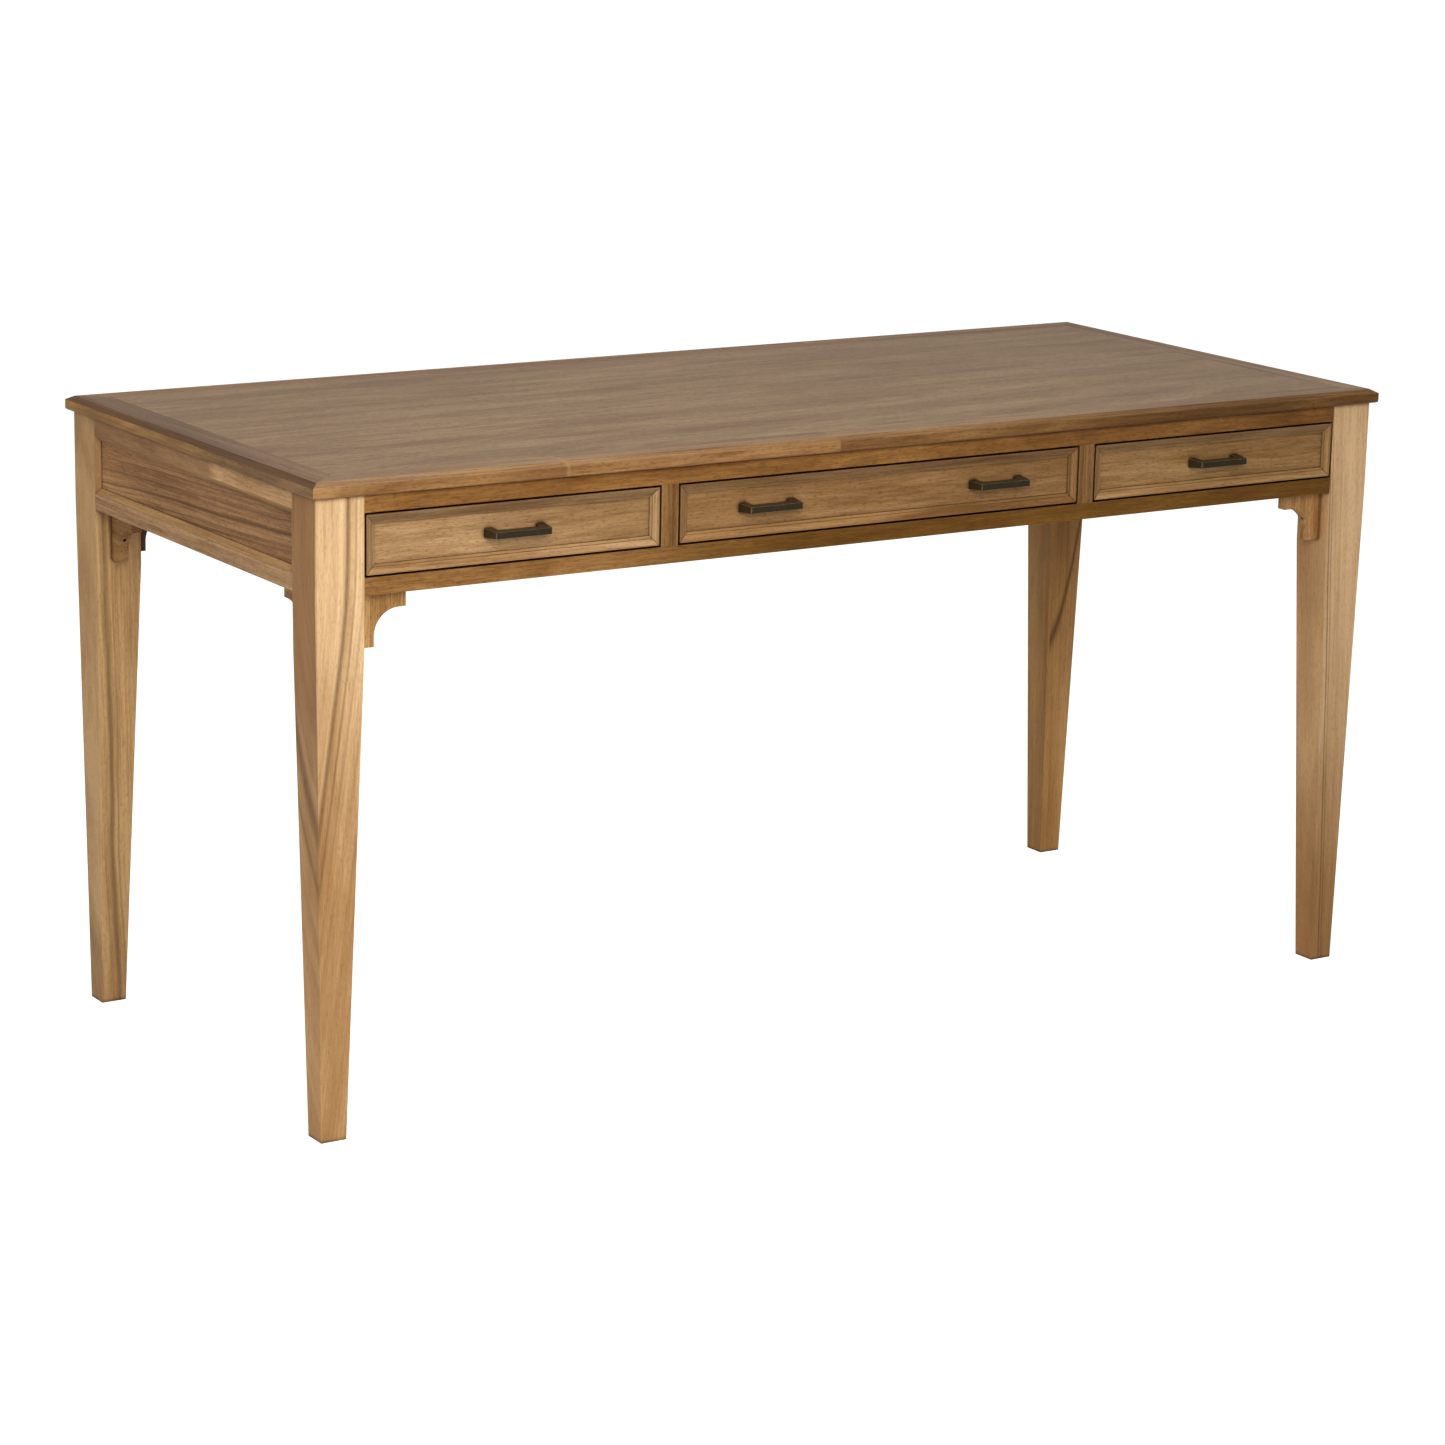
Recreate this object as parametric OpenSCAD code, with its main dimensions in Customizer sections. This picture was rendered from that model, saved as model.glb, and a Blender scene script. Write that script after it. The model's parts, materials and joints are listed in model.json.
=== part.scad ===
// Writing desk with three drawers in its apron. A mitred top stands on four
// tapered legs. The sides are framed panels, and small shaped brackets sit
// under the rails at every leg. The drawers run on wooden bearers and guides.
// Millimetres. +X is right, +Y is back and +Z is up, seen from the front.
// The origin is on the floor, under the middle of the top.

/* [Desk] */
// Overall width of the top
desk_w = 1524; // [1350:1700]
// Overall depth of the top
desk_d = 660; // [620:760]
// Height of the top surface above the floor
desk_h = 762; // [720:800]
// How far the top stands out past the legs
overhang = 8; // [4:20]

/* [Top] */
// Thickness of the top
top_t = 17.5; // [16:0.5:24]
// Width of the mitred border round the top
border_w = 45; // [40:70]
// Run of the bevel along the top's upper edge, measured inwards
bevel_run = 9; // [3:12]
// Drop of that bevel
bevel_drop = 5; // [2:6]
// Radius of the top's lower edge
lower_round = 3; // [1:3]

/* [Legs] */
// Width of a leg at the top, each way
leg_w = 59; // [54:66]
// Width of a leg at the floor, each way
foot_w = 32; // [26:40]
// How far each outer face leans in by the floor
outer_lean = 7; // [0:10]
// Height where the inner faces start to taper
taper_z = 560; // [450:562]

/* [Apron] */
// Thickness of the upper rails
upper_rail_t = 20.5; // [18:0.5:24]
// Thickness of the lower rails
lower_rail_t = 20; // [19:24]
// Height of the openings between the rails
opening_h = 73; // [71:90]
// Depth of the front rails and dividers, front to back
front_rail_d = 50; // [46:60]
// Depth of the side and back rails
side_rail_d = 40; // [38:44]
// Width of each divider between two drawers
divider_w = 23; // [20:30]
// Distance from the middle of the desk to a divider's near face
centre_half = 289; // [240:320]

/* [Panels] */
// How far the side and back panels stand back from the legs' faces
panel_recess = 6; // [5:8]
// Thickness of those panels
panel_t = 8; // [6:10]
// Depth of the grooves that hold them
groove = 6; // [4:6]

/* [Brackets] */
// Length of a bracket along its rail
bracket_l = 60; // [56:80]
// Height of a bracket's square end
bracket_step = 20; // [14:22]
// Radius of its hollow curve
bracket_r = 31; // [28:34]
// Width of its foot, against the leg
bracket_foot_w = 20; // [14:20]
// Height of the straight part of its foot
bracket_foot_h = 12; // [8:13]
// Thickness of a bracket
bracket_t = 13; // [12:16]

/* [Drawers] */
// Gap round each drawer front
front_gap = 2.5; // [1:0.5:2.5]
// Thickness of the drawer fronts behind their mouldings
front_t = 16; // [15:20]
// Width of the moulding round a drawer front
mould_w = 11.5; // [10:0.5:14]
// Thickness of that moulding
mould_t = 5; // [4:6]
// Thickness of drawer sides and backs
board_t = 12; // [11:13]
// Height of the drawer sides
side_h = 60; // [56:60]
// Length of the drawer box behind its front
box_l = 500; // [440:520]
// Thickness of the drawer bottoms
bottom_t = 6; // [4:7]
// How far a drawer pulls out
travel = 350; // [250:360]

/* [Handles] */
// Length of a handle along its bar
handle_l = 72; // [60:110]
// How far each end of a handle spreads towards the drawer
base_splay = 3; // [0:0.5:5]
// How far a handle stands out from the drawer front
handle_out = 23.5; // [21:0.5:34]
// Height of the bar
bar_h = 7.5; // [6:0.5:9]
// Height of the handle where it meets the drawer
base_h = 11; // [9:0.5:14]
// Width of the bar and of its two posts
bar_w = 11; // [9:12]
// Distance from the middle of the desk to the centre drawer's handles
handle_x = 165; // [100:180]

/* [Hidden] */
$fn = 64;

// Half sizes: the top, the legs' outer faces and the legs' inner faces.
top_x = desk_w / 2;
top_y = desk_d / 2;
out_x = top_x - overhang;
out_y = top_y - overhang;
in_x = out_x - leg_w;
in_y = out_y - leg_w;

// Heights, from the underside of the top down to the underside of the apron.
under_top = desk_h - top_t;
open_top = under_top - upper_rail_t;
open_low = open_top - opening_h;
apron_low = open_low - lower_rail_t;

// Rails, seen from above.
rail_in_x = out_x - side_rail_d;
rail_in_y = out_y - side_rail_d;
front_in_y = -out_y + front_rail_d;

// Joints.
tongue_t = 6;        // tongue between the top's field and its border
tongue_l = 8;
tenon_front_l = 22;  // front and back rails into the legs
tenon_side_l = 25;   // side rails into the legs
tenon_edge = 8;      // shoulder on each edge of a rail tenon
cheek_panel = groove + 1;
cheek_plain = 4;
divider_tenon = [10, 24, 8];
divider_tenon_y = 12;
bearer_w = 60;
bearer_tenon = [40, 10, 8];

// Bearers and guides.
runner_w = 40;
guide_h = 20;
guide_gap = 0.6;
side_inset = 3.5;    // drawer side behind the end of its front
run_gap = 0.3;       // under the drawer sides
stop_gap = 0.5;
stop_l = 15;
stop_h = 15;
out_stop_h = 10;
back_over = 9;       // drawer back above its sides

// Drawers.
front_low = open_low + front_gap;
front_h = opening_h - 2 * front_gap;
front_back_y = -out_y + mould_t + front_t;
field_y = -out_y + mould_t;
box_low = open_low + run_gap;
box_back_y = front_back_y + box_l;
bottom_low = box_low + 8;
bottom_groove = 5;
lap = 10;            // dovetails into the drawer front
tail_w = 10;
tail_flare = 1.5;    // each side of a tail, from root to end
tail_pitch = 20;
centre_w = 2 * (centre_half - front_gap);
end_near = centre_half + divider_w + front_gap;
end_w = in_x - front_gap - end_near;
end_x = end_near + end_w / 2;
divider_x = centre_half + divider_w / 2;

// Mouldings: [distance in from the edge, depth behind the face] points.
mould_lip = 1.2;
mould_flat = 3.5;    // flat along the inner edge of a drawer's moulding
mould_step = 1.3;    // from that flat down to the drawer front
mitre_gap = 0.1;     // at each end of a strip
drawer_mould = [[0, 0], [mould_lip, 0], [mould_w - mould_flat, mould_t - mould_step - 0.6],
                [mould_w - mould_flat, mould_t - mould_step], [mould_w, mould_t - mould_step],
                [mould_w, mould_t], [0, mould_t]];
side_mould_w = 7.5;
side_mould = [[0, 0], [mould_lip, 0], [side_mould_w, panel_recess - 1],
              [side_mould_w, panel_recess], [0, panel_recess]];

// Handles.
handle_chamfer = 0.4;
handle_z = front_low + front_h / 2;
bolt_d = 4;
bolt_in = 8;
bolt_head = [8, 2.4];

// Screws that hold the top down.
screw_d = 4.5;
screw_head = [9, 3];
screw_l = 30;
screw_x = [-600, -200, 200, 600];
screw_y = [-130, 130];

// Brackets and their screws.
bracket_back_front = 16;   // front and back brackets behind the legs' faces
bracket_back_side = 20;    // side brackets behind the legs' faces
bracket_screw_a = 30;      // climb of a screw towards the leg, in degrees
bracket_screw_d = 3;
bracket_screw_head = [4.5, 1.5];
bracket_screw_l = 36;
bracket_screw_sunk = 4;    // head below the curve

oak = [0.80, 0.60, 0.36];
honey = [0.72, 0.50, 0.28];
brown = [0.58, 0.41, 0.26];
ply = [0.84, 0.72, 0.54];
bronze = [0.16, 0.13, 0.11];
steel = [0.62, 0.62, 0.60];

// ---------------------------------------------------------------- helpers

// A box from its lowest corner to its highest.
module block(low, high) {
    translate(low) cube(high - low);
}

// Children, moved to another corner of the desk by mirroring.
module at_corner(right, back) {
    mirror([right ? 1 : 0, 0, 0]) mirror([0, back ? 1 : 0, 0]) children();
}

// Children, and their mirror image on the right.
module both_sides() {
    children();
    mirror([1, 0, 0]) children();
}

// A flat outline in X and Z, standing up, from the plane y = 0 towards +Y.
module upright(depth) {
    translate([0, depth, 0]) rotate([90, 0, 0]) linear_extrude(depth) children();
}

// ---------------------------------------------------------------- the top

// Edge of the top: x is inwards from the outer edge and y is up.
module border_outline() {
    difference() {
        union() {
            square([border_w, top_t]);
            translate([border_w, (top_t - tongue_t) / 2]) square([tongue_l, tongue_t]);
        }
        polygon([[0, top_t - bevel_drop], [bevel_run, top_t], [0, top_t]]);
        difference() {
            square(lower_round);
            translate([lower_round, lower_round]) circle(lower_round);
        }
    }
}

// One side of the border, mitred, with its outer edge at -half_d.
module border(half_l, half_d) {
    depth = border_w + tongue_l;
    color(brown) intersection() {
        translate([-half_l, -half_d, under_top])
            rotate([90, 0, 90]) linear_extrude(2 * half_l) border_outline();
        translate([0, -half_d, under_top]) linear_extrude(top_t)
            polygon([[-half_l, 0], [half_l, 0], [half_l - depth, depth], [depth - half_l, depth]]);
    }
}

module top_field() {
    field_x = top_x - border_w;
    field_y = top_y - border_w;
    tongue_z = under_top + (top_t - tongue_t) / 2;
    color(brown) difference() {
        block([-field_x, -field_y, under_top], [field_x, field_y, desk_h]);
        difference() {
            block([-field_x, -field_y, tongue_z], [field_x, field_y, tongue_z + tongue_t]);
            block([tongue_l - field_x, tongue_l - field_y, under_top],
                  [field_x - tongue_l, field_y - tongue_l, desk_h]);
        }
    }
}

module top_border_front() {
    difference() {
        border(top_x, top_y);
        top_screws();
    }
}

module top_border_back() {
    mirror([0, 1, 0]) top_border_front();
}

module top_border_left() {
    difference() {
        rotate([0, 0, -90]) border(top_y, top_x);
        top_screws();
    }
}

module top_screw(x, y) {
    translate([x, y, open_top]) {
        cylinder(d = screw_d, h = screw_l);
        cylinder(d1 = screw_head[0], d2 = screw_d, h = screw_head[1]);
    }
}

module top_screws() {
    color(steel) {
        for (x = screw_x, back = [0, 1])
            mirror([0, back, 0]) top_screw(x, -out_y + side_rail_d / 2);
        for (y = screw_y, right = [0, 1])
            mirror([right, 0, 0]) top_screw(-out_x + side_rail_d / 2, y);
    }
}

// ---------------------------------------------------------------- the legs

// One face of a leg: x is inwards from the outer face and y is the height.
module leg_outline() {
    polygon([[0, under_top], [0, apron_low], [outer_lean, 0], [outer_lean + foot_w, 0],
             [leg_w, taper_z], [leg_w, under_top]]);
}

// Tenon on the left end of a rail that runs along X, for a rail of depth rail_d.
module end_tenon(rail_d, low, high) {
    block([-in_x - tenon_front_l, tenon_edge - out_y, low],
          [-in_x, rail_d - tenon_edge - out_y, high]);
}

// Tenon on the front end of a side rail.
module side_tenon(low, high) {
    block([tenon_edge - out_x, -in_y - tenon_side_l, low],
          [side_rail_d - tenon_edge - out_x, -in_y, high]);
}

// Heights of the tenons of the upper and lower rails.
upper_tenon = [open_top + cheek_panel, under_top - cheek_plain];
lower_tenon = [apron_low + cheek_plain, open_low - cheek_panel];

// The front left leg. A back leg is its mirror image, with other mortises.
module leg(rail_d, back) {
    panel_low = open_low - groove;
    panel_high = open_top + groove;
    color(oak) difference() {
        translate([-out_x, -out_y, 0]) intersection() {
            upright(leg_w) leg_outline();
            rotate([90, 0, 90]) linear_extrude(leg_w) leg_outline();
        }
        for (t = [upper_tenon, lower_tenon]) {
            end_tenon(rail_d, t[0], t[1]);
            side_tenon(t[0], t[1]);
        }
        block([panel_recess - out_x, -in_y - groove, panel_low],
              [panel_recess + panel_t - out_x, -in_y, panel_high]);
        bracket_screws();
        if (back)
            block([-in_x - groove, panel_recess - out_y, panel_low],
                  [-in_x, panel_recess + panel_t - out_y, panel_high]);
    }
}

// ---------------------------------------------------------------- rails

module front_rail(low, high, t) {
    color(honey) {
        block([-in_x, -out_y, low], [in_x, front_in_y, high]);
        both_sides() end_tenon(front_rail_d, t[0], t[1]);
    }
}

module divider_tenons() {
    for (z = [open_low - divider_tenon[2], open_top])
        translate([divider_x - divider_tenon[0] / 2, divider_tenon_y - out_y, z])
            cube(divider_tenon);
}

// Tongue on the front end of a bearer or kicker that starts at height low.
module bearer_tenon(low) {
    translate([divider_x - bearer_tenon[0] / 2, front_in_y - bearer_tenon[1], low + 6])
        cube(bearer_tenon);
}

// The same on its back end, into a back rail.
module bearer_tenon_back(low) {
    translate([divider_x - bearer_tenon[0] / 2, rail_in_y, low + 6]) cube(bearer_tenon);
}

module front_upper_rail() {
    difference() {
        front_rail(open_top, under_top, upper_tenon);
        both_sides() {
            divider_tenons();
            bearer_tenon(open_top);
        }
        top_screws();
    }
}

module front_lower_rail() {
    difference() {
        front_rail(apron_low, open_low, lower_tenon);
        both_sides() {
            divider_tenons();
            bearer_tenon(apron_low);
        }
    }
}

module divider_right() {
    color(honey) {
        block([centre_half, -out_y, open_low], [centre_half + divider_w, front_in_y, open_top]);
        divider_tenons();
    }
}

// The left side's rails, with a groove for the panel.
module side_rail(low, high, t) {
    color(honey) difference() {
        union() {
            block([-out_x, -in_y, low], [-rail_in_x, in_y, high]);
            side_tenon(t[0], t[1]);
            mirror([0, 1, 0]) side_tenon(t[0], t[1]);
        }
        side_panel_block();
    }
}

module side_panel_block() {
    block([panel_recess - out_x, -in_y - groove, open_low - groove],
          [panel_recess + panel_t - out_x, in_y + groove, open_top + groove]);
}

module left_upper_rail() {
    difference() {
        side_rail(open_top, under_top, upper_tenon);
        top_screws();
    }
}

module left_panel() {
    color(brown) side_panel_block();
}

module back_rail(low, high, t) {
    color(honey) mirror([0, 1, 0]) {
        block([-in_x, -out_y, low], [in_x, -rail_in_y, high]);
        both_sides() end_tenon(side_rail_d, t[0], t[1]);
    }
}

module back_upper_rail() {
    difference() {
        back_rail(open_top, under_top, upper_tenon);
        both_sides() bearer_tenon_back(open_top);
        back_panel_block();
        top_screws();
    }
}

module back_lower_rail() {
    difference() {
        back_rail(apron_low, open_low, lower_tenon);
        both_sides() bearer_tenon_back(apron_low);
        back_panel_block();
    }
}

module back_panel_block() {
    block([-in_x - groove, out_y - panel_recess - panel_t, open_low - groove],
          [in_x + groove, out_y - panel_recess, open_top + groove]);
}

module back_panel() {
    color(brown) back_panel_block();
}

// ---------------------------------------------------------------- mouldings

// One mitred strip of length l along X, facing -Y, with its outer edge at z = 0.
module moulding_strip(l, outline, width, depth) {
    intersection() {
        rotate([90, 0, 90]) linear_extrude(l)
            polygon([for (p = outline) [p[1], p[0]]]);
        upright(depth) polygon([[mitre_gap, 0], [l - mitre_gap, 0],
                                [l - width - mitre_gap, width], [width + mitre_gap, width]]);
    }
}

// Four mitred strips round a w by h opening, from its lower left corner.
module moulding_frame(w, h, outline, width, depth) {
    for (top = [0, 1])
        translate([0, 0, top * h]) mirror([0, 0, top])
            moulding_strip(w, outline, width, depth);
    for (right = [0, 1])
        translate([right * w, 0, 0]) mirror([right, 0, 0])
            mirror([1, 0, -1]) moulding_strip(h, outline, width, depth);
}

module left_moulding() {
    color(oak) translate([-out_x, in_y, open_low]) rotate([0, 0, -90])
        moulding_frame(2 * in_y, opening_h, side_mould, side_mould_w, panel_recess);
}

// ---------------------------------------------------------------- brackets

// A bracket's face: x is along the rail from the leg and y is up, to the rail at 0.
module bracket_outline() {
    curve_x = bracket_foot_w + bracket_r;
    curve_z = -bracket_step - bracket_r;
    translate([0, -bracket_step]) square([bracket_l, bracket_step]);
    difference() {
        translate([0, curve_z]) square([curve_x, bracket_r]);
        translate([curve_x, curve_z]) circle(bracket_r);
    }
    translate([0, curve_z - bracket_foot_h]) square([bracket_foot_w, bracket_foot_h]);
}

// Children at the front left leg's brackets, under the front rail and the side rail.
// The leg's inner face is at x = 0 and the rail's underside at z = 0.
module at_brackets() {
    translate([-in_x, bracket_back_front - out_y, apron_low]) children();
    translate([bracket_back_side - out_x, -in_y, apron_low]) mirror([1, -1, 0]) children();
}

// The screw from a bracket's hollow curve into the leg, square to the curve.
// With bore = true it is the hole, with the way in for the head.
module bracket_screw(bore) {
    translate([bracket_foot_w + bracket_r, bracket_t / 2, -bracket_step - bracket_r])
        rotate([0, bracket_screw_a - 90, 0])
            translate([0, 0, bracket_r + bracket_screw_sunk]) {
                cylinder(d = bracket_screw_d, h = bracket_screw_l);
                cylinder(d1 = bracket_screw_head[0], d2 = bracket_screw_d,
                         h = bracket_screw_head[1]);
                if (bore)
                    translate([0, 0, -2 * bracket_screw_sunk])
                        cylinder(d = bracket_screw_head[0], h = 2 * bracket_screw_sunk);
            }
}

module bracket_screws() {
    color(steel) at_brackets() bracket_screw(false);
}

module brackets() {
    color(honey) difference() {
        at_brackets() upright(bracket_t) bracket_outline();
        at_brackets() bracket_screw(true);
    }
}

// ---------------------------------------------------------------- inside

// Bearers behind the lower front rail, under the joint between two drawers.
module bearers() {
    color(ply) both_sides() {
        block([divider_x - bearer_w / 2, front_in_y, apron_low],
              [divider_x + bearer_w / 2, rail_in_y, open_low]);
        bearer_tenon(apron_low);
        bearer_tenon_back(apron_low);
    }
}

// Runners fixed to the lower side rails, under the outer drawer sides.
module end_runners() {
    color(ply) both_sides()
        block([-rail_in_x, -in_y, apron_low], [runner_w - rail_in_x, in_y, open_low]);
}

// Strips on the bearers and runners that keep the drawers straight.
module drawer_guides() {
    outer_face = in_x - front_gap - side_inset;
    color(ply) both_sides() {
        block([-rail_in_x, -in_y, open_low], [-outer_face - guide_gap, in_y, open_low + guide_h]);
        block([centre_half - front_gap - side_inset + guide_gap, front_in_y, open_low],
              [end_near + side_inset - guide_gap, rail_in_y, open_low + guide_h]);
    }
}

// Strips above the drawer sides that stop an open drawer from tipping.
module kickers() {
    color(ply) both_sides() {
        block([-rail_in_x, -in_y, open_top], [runner_w - rail_in_x, in_y, under_top]);
        block([divider_x - bearer_w / 2, front_in_y, open_top],
              [divider_x + bearer_w / 2, rail_in_y, under_top]);
        bearer_tenon(open_top);
        bearer_tenon_back(open_top);
    }
}

// Low blocks meet the back of a closed drawer. High ones meet an open one.
module drawer_stops() {
    back_front_y = box_back_y - board_t;
    high_end = back_front_y - travel - stop_gap;
    inner = centre_half - front_gap - side_inset - board_t;
    near = end_near + side_inset;
    outer = in_x - front_gap - side_inset - board_t;
    color(ply) both_sides() for (x = [inner, near, outer]) {
        block([x, box_back_y + stop_gap, open_low],
              [x + board_t, box_back_y + stop_gap + stop_l, open_low + stop_h]);
        block([x, high_end - stop_l, open_top - out_stop_h], [x + board_t, high_end, open_top]);
    }
}

// ---------------------------------------------------------------- drawers

// Dovetails on the ends of a drawer side, as an outline with x along +Y and
// y up. Each tail is narrow at its root and wide at its end.
module tails(first, count, root_y, end_y) {
    for (i = [0 : count - 1]) {
        z = first + i * tail_pitch;
        polygon([[root_y, z - tail_w / 2], [root_y, z + tail_w / 2],
                 [end_y, z + tail_w / 2 + tail_flare], [end_y, z - tail_w / 2 - tail_flare]]);
    }
}

module side_tails() {
    tails(box_low + tail_pitch / 2, 3, front_back_y, front_back_y - lap);
    tails(bottom_low + bottom_t + board_t, 2, box_back_y - board_t, box_back_y);
}

// Both ends' dovetails, through the thickness of the side whose outer face is at x.
module tails_through(x) {
    translate([x, 0, 0]) rotate([90, 0, 90]) linear_extrude(board_t) side_tails();
}

module drawer_bottom(cx, w) {
    half = w / 2 - side_inset - board_t + bottom_groove;
    color(ply) block([cx - half, front_back_y - 6, bottom_low],
                     [cx + half, box_back_y, bottom_low + bottom_t]);
}

// The left side of the drawer with its middle at cx and a front w wide.
module drawer_side(cx, w) {
    x = cx - w / 2 + side_inset;
    color(ply) difference() {
        union() {
            block([x, front_back_y, box_low],
                  [x + board_t, box_back_y - board_t, box_low + side_h]);
            block([x, box_back_y - board_t, box_low],
                  [x + board_t, box_back_y, bottom_low + bottom_t]);
            tails_through(x);
        }
        drawer_bottom(cx, w);
    }
}

// The right side of the same drawer.
module drawer_side_right(cx, w) {
    translate([2 * cx, 0, 0]) mirror([1, 0, 0]) drawer_side(cx, w);
}

module both_tails(cx, w) {
    tails_through(cx - w / 2 + side_inset);
    tails_through(cx + w / 2 - side_inset - board_t);
}

module drawer_back(cx, w) {
    half = w / 2 - side_inset;
    color(ply) difference() {
        block([cx - half, box_back_y - board_t, bottom_low + bottom_t],
              [cx + half, box_back_y, box_low + side_h + back_over]);
        both_tails(cx, w);
    }
}

module drawer_front(cx, w, handles) {
    color(honey) difference() {
        block([cx - w / 2, field_y, front_low], [cx + w / 2, front_back_y, front_low + front_h]);
        both_tails(cx, w);
        drawer_bottom(cx, w);
        for (x = handles) handle_bolts(x);
    }
}

module drawer_moulding(cx, w) {
    color(oak) translate([cx - w / 2, -out_y, front_low])
        moulding_frame(w, front_h, drawer_mould, mould_w, mould_t);
}

// ---------------------------------------------------------------- handles

// Handle from above: x is along the drawer and y is out from its front.
module handle_plan() {
    foot = handle_l / 2 + base_splay;
    reach = handle_out - bar_w;
    inner = foot - bar_w;
    far_inner = inner - base_splay * reach / handle_out;
    difference() {
        polygon([[-foot, 0], [foot, 0],
                 [handle_l / 2, handle_out - handle_chamfer],
                 [handle_l / 2 - handle_chamfer, handle_out],
                 [handle_chamfer - handle_l / 2, handle_out],
                 [-handle_l / 2, handle_out - handle_chamfer]]);
        polygon([[-inner, -1], [-inner, 0], [-far_inner, reach],
                 [far_inner, reach], [inner, 0], [inner, -1]]);
    }
}

// Handle from its end: x is out from the drawer front and y is up.
module handle_end() {
    polygon([[0, -base_h / 2], [0, base_h / 2], [handle_out, bar_h / 2], [handle_out, -bar_h / 2]]);
}

module handle(cx) {
    color(bronze) difference() {
        translate([cx, field_y, handle_z]) rotate([0, 0, 180]) intersection() {
            translate([0, 0, -base_h / 2]) linear_extrude(base_h) handle_plan();
            translate([-handle_l / 2 - base_splay, 0, 0]) rotate([90, 0, 90])
                linear_extrude(handle_l + 2 * base_splay) handle_end();
        }
        handle_bolts(cx);
    }
}

// Two bolts from inside the drawer into the handle's posts.
module handle_bolts(cx) {
    bolt_l = front_t + bolt_in;
    color(steel) for (side = [-1, 1])
        translate([cx + side * ((handle_l - bar_w) / 2 + base_splay), front_back_y, handle_z])
            rotate([90, 0, 0]) {
                cylinder(d = bolt_d, h = bolt_l);
                translate([0, 0, -bolt_head[1]]) cylinder(d = bolt_head[0], h = bolt_head[1]);
            }
}

// ---------------------------------------------------------------- the desk

top_field();
top_border_front();
top_border_back();
top_border_left();
mirror([1, 0, 0]) top_border_left();  // top_border_right

leg(front_rail_d, false);  // leg_front_left
at_corner(true, false) leg(front_rail_d, false);  // leg_front_right
at_corner(false, true) leg(side_rail_d, true);  // leg_back_left
at_corner(true, true) leg(side_rail_d, true);  // leg_back_right

front_upper_rail();
front_lower_rail();
mirror([1, 0, 0]) divider_right();  // divider_left
divider_right();

left_upper_rail();
side_rail(apron_low, open_low, lower_tenon);  // left_lower_rail
left_panel();
left_moulding();
mirror([1, 0, 0]) left_upper_rail();  // right_upper_rail
mirror([1, 0, 0]) side_rail(apron_low, open_low, lower_tenon);  // right_lower_rail
mirror([1, 0, 0]) left_panel();  // right_panel
mirror([1, 0, 0]) left_moulding();  // right_moulding

back_upper_rail();
back_lower_rail();
back_panel();

brackets();  // brackets_front_left
at_corner(true, false) brackets();  // brackets_front_right
at_corner(false, true) brackets();  // brackets_back_left
at_corner(true, true) brackets();  // brackets_back_right

for (right = [0, 1], back = [0, 1]) at_corner(right == 1, back == 1) bracket_screws();

bearers();
end_runners();
drawer_guides();
kickers();
drawer_stops();
top_screws();

drawer_front(-end_x, end_w, [-end_x]);  // left_drawer_front
drawer_moulding(-end_x, end_w);  // left_drawer_moulding
drawer_side(-end_x, end_w);  // left_drawer_side_outer
drawer_side_right(-end_x, end_w);  // left_drawer_side_inner
drawer_back(-end_x, end_w);  // left_drawer_back
drawer_bottom(-end_x, end_w);  // left_drawer_bottom
handle(-end_x);  // left_handle
handle_bolts(-end_x);  // left_handle_bolts

drawer_front(0, centre_w, [-handle_x, handle_x]);  // centre_drawer_front
drawer_moulding(0, centre_w);  // centre_drawer_moulding
drawer_side(0, centre_w);  // centre_drawer_side_left
drawer_side_right(0, centre_w);  // centre_drawer_side_right
drawer_back(0, centre_w);  // centre_drawer_back
drawer_bottom(0, centre_w);  // centre_drawer_bottom
handle(-handle_x);  // centre_handle_left
handle(handle_x);  // centre_handle_right
for (x = [-handle_x, handle_x]) handle_bolts(x);  // centre_handle_bolts

drawer_front(end_x, end_w, [end_x]);  // right_drawer_front
drawer_moulding(end_x, end_w);  // right_drawer_moulding
drawer_side_right(end_x, end_w);  // right_drawer_side_outer
drawer_side(end_x, end_w);  // right_drawer_side_inner
drawer_back(end_x, end_w);  // right_drawer_back
drawer_bottom(end_x, end_w);  // right_drawer_bottom
handle(end_x);  // right_handle
handle_bolts(end_x);  // right_handle_bolts
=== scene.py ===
"""Looks of a writing desk with three drawers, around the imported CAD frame.

Every visible wooden piece is rebuilt from its CAD solid with softened edges and gets its
own procedural wood: growth rings round a pith that lies inside or beside the board, so
faces, edges and end grain agree. Metres, +X right, +Y back, +Z up.
"""

import json
import math

import bmesh
import bpy
from mathutils import Matrix, Vector

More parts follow.
